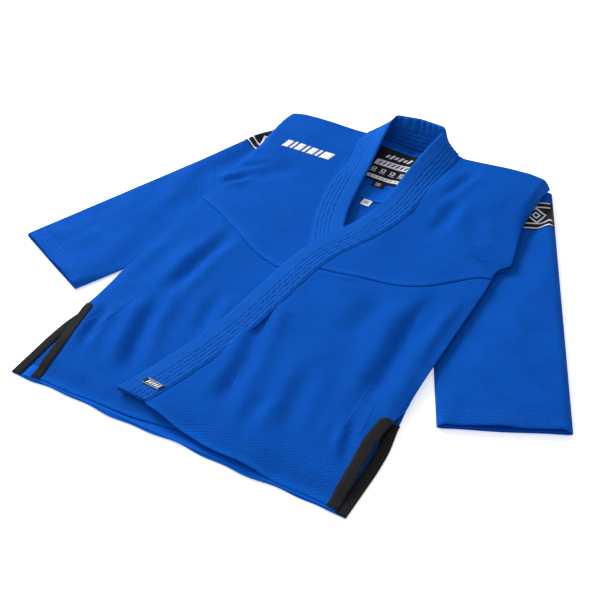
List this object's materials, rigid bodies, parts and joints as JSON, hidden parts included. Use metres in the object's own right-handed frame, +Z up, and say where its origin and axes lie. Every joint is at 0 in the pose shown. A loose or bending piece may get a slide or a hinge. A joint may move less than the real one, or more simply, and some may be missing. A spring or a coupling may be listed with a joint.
{
  "type": "martial arts jacket",
  "caption": "Woven cotton grappling jacket lying on its back with the fronts wrapped left over right, quilted band round the neck and both sleeves swung down.",
  "frame": {"origin": "on the surface that the jacket lies on, under the middle of the back, 400 mm above the hem line", "axes": "+X towards the wearer's left, +Y from the hem to the collar, +Z up"},
  "size_m": [1.0112, 0.8322, 0.0723],
  "materials": {
    "weave": "matte pearl weave cotton, royal blue",
    "drill": "matte cotton drill, royal blue, row stitched",
    "lining": "matte light cotton, royal blue",
    "core": "closed cell foam",
    "tape": "black twill tape",
    "label": "black woven damask",
    "white": "white thread and woven label cloth"
  },
  "bodies": {
    "body": {"back_panel": "weave", "left_skirt_side": "weave", "left_yoke_side": "weave", "right_skirt_side": "weave", "right_yoke_side": "weave", "left_vent_patch": "weave", "right_vent_patch": "weave", "neck_band_cover": "drill", "back_yoke_lining": "lining", "back_hem_facing": "lining", "left_hem_facing_side": "lining", "right_hem_facing_side": "lining", "neck_band_core": "core", "left_vent_front_tape": "tape", "left_vent_back_tape": "tape", "right_vent_front_tape": "tape", "right_vent_back_tape": "tape", "neck_label": "label", "chest_motif": "white"},
    "left_front": {"left_skirt_flap": "weave", "left_yoke_flap": "weave", "left_lapel_cover": "drill", "left_lapel_core": "core", "left_hem_facing_flap": "lining", "lapel_label": "label"},
    "right_front": {"right_skirt_flap": "weave", "right_yoke_flap": "weave", "right_lapel_cover": "drill", "right_lapel_core": "core", "right_hem_facing_flap": "lining"},
    "left_sleeve": {"left_sleeve": "weave", "left_cuff_facing": "lining", "left_shoulder_patch": "label", "left_underarm_gusset": "lining"},
    "right_sleeve": {"right_sleeve": "weave", "right_cuff_facing": "lining", "right_shoulder_patch": "label", "right_underarm_gusset": "lining"},
    "size_tab": {"size_tab": "label"},
    "care_label": {"care_label": "white"}
  },
  "joints": [
    {"name": "left_front_open", "type": "hinge", "parent": "body", "child": "left_front", "pos_m": [0.1995, -0.4, 0.0205], "axis": [-0.1441, 0.9895, 0.0062], "range_deg": [0, 155]},
    {"name": "right_front_lift", "type": "hinge", "parent": "body", "child": "right_front", "pos_m": [-0.1995, -0.4, 0.0205], "axis": [-0.1441, -0.9895, -0.0062], "range_deg": [0, 40]},
    {"name": "left_sleeve_swing", "type": "hinge", "parent": "body", "child": "left_sleeve", "pos_m": [0.274, 0.401, 0.003], "axis": [0, 0, 1], "range_deg": [0, 66]},
    {"name": "right_sleeve_swing", "type": "hinge", "parent": "body", "child": "right_sleeve", "pos_m": [-0.274, 0.401, 0.003], "axis": [0, 0, -1], "range_deg": [0, 66]},
    {"name": "size_tab_flip", "type": "hinge", "parent": "body", "child": "size_tab", "pos_m": [-0.014, 0.2886, 0.0126], "axis": [-1, 0, 0], "range_deg": [0, 110]},
    {"name": "care_label_flip", "type": "hinge", "parent": "body", "child": "care_label", "pos_m": [-0.01, 0.2366, 0.007], "axis": [-1, 0, 0], "range_deg": [0, 110]}
  ],
  "couplings": [
    {"joint": "right_front_lift", "follows": "left_front_open", "ratio": 0.25}
  ]
}
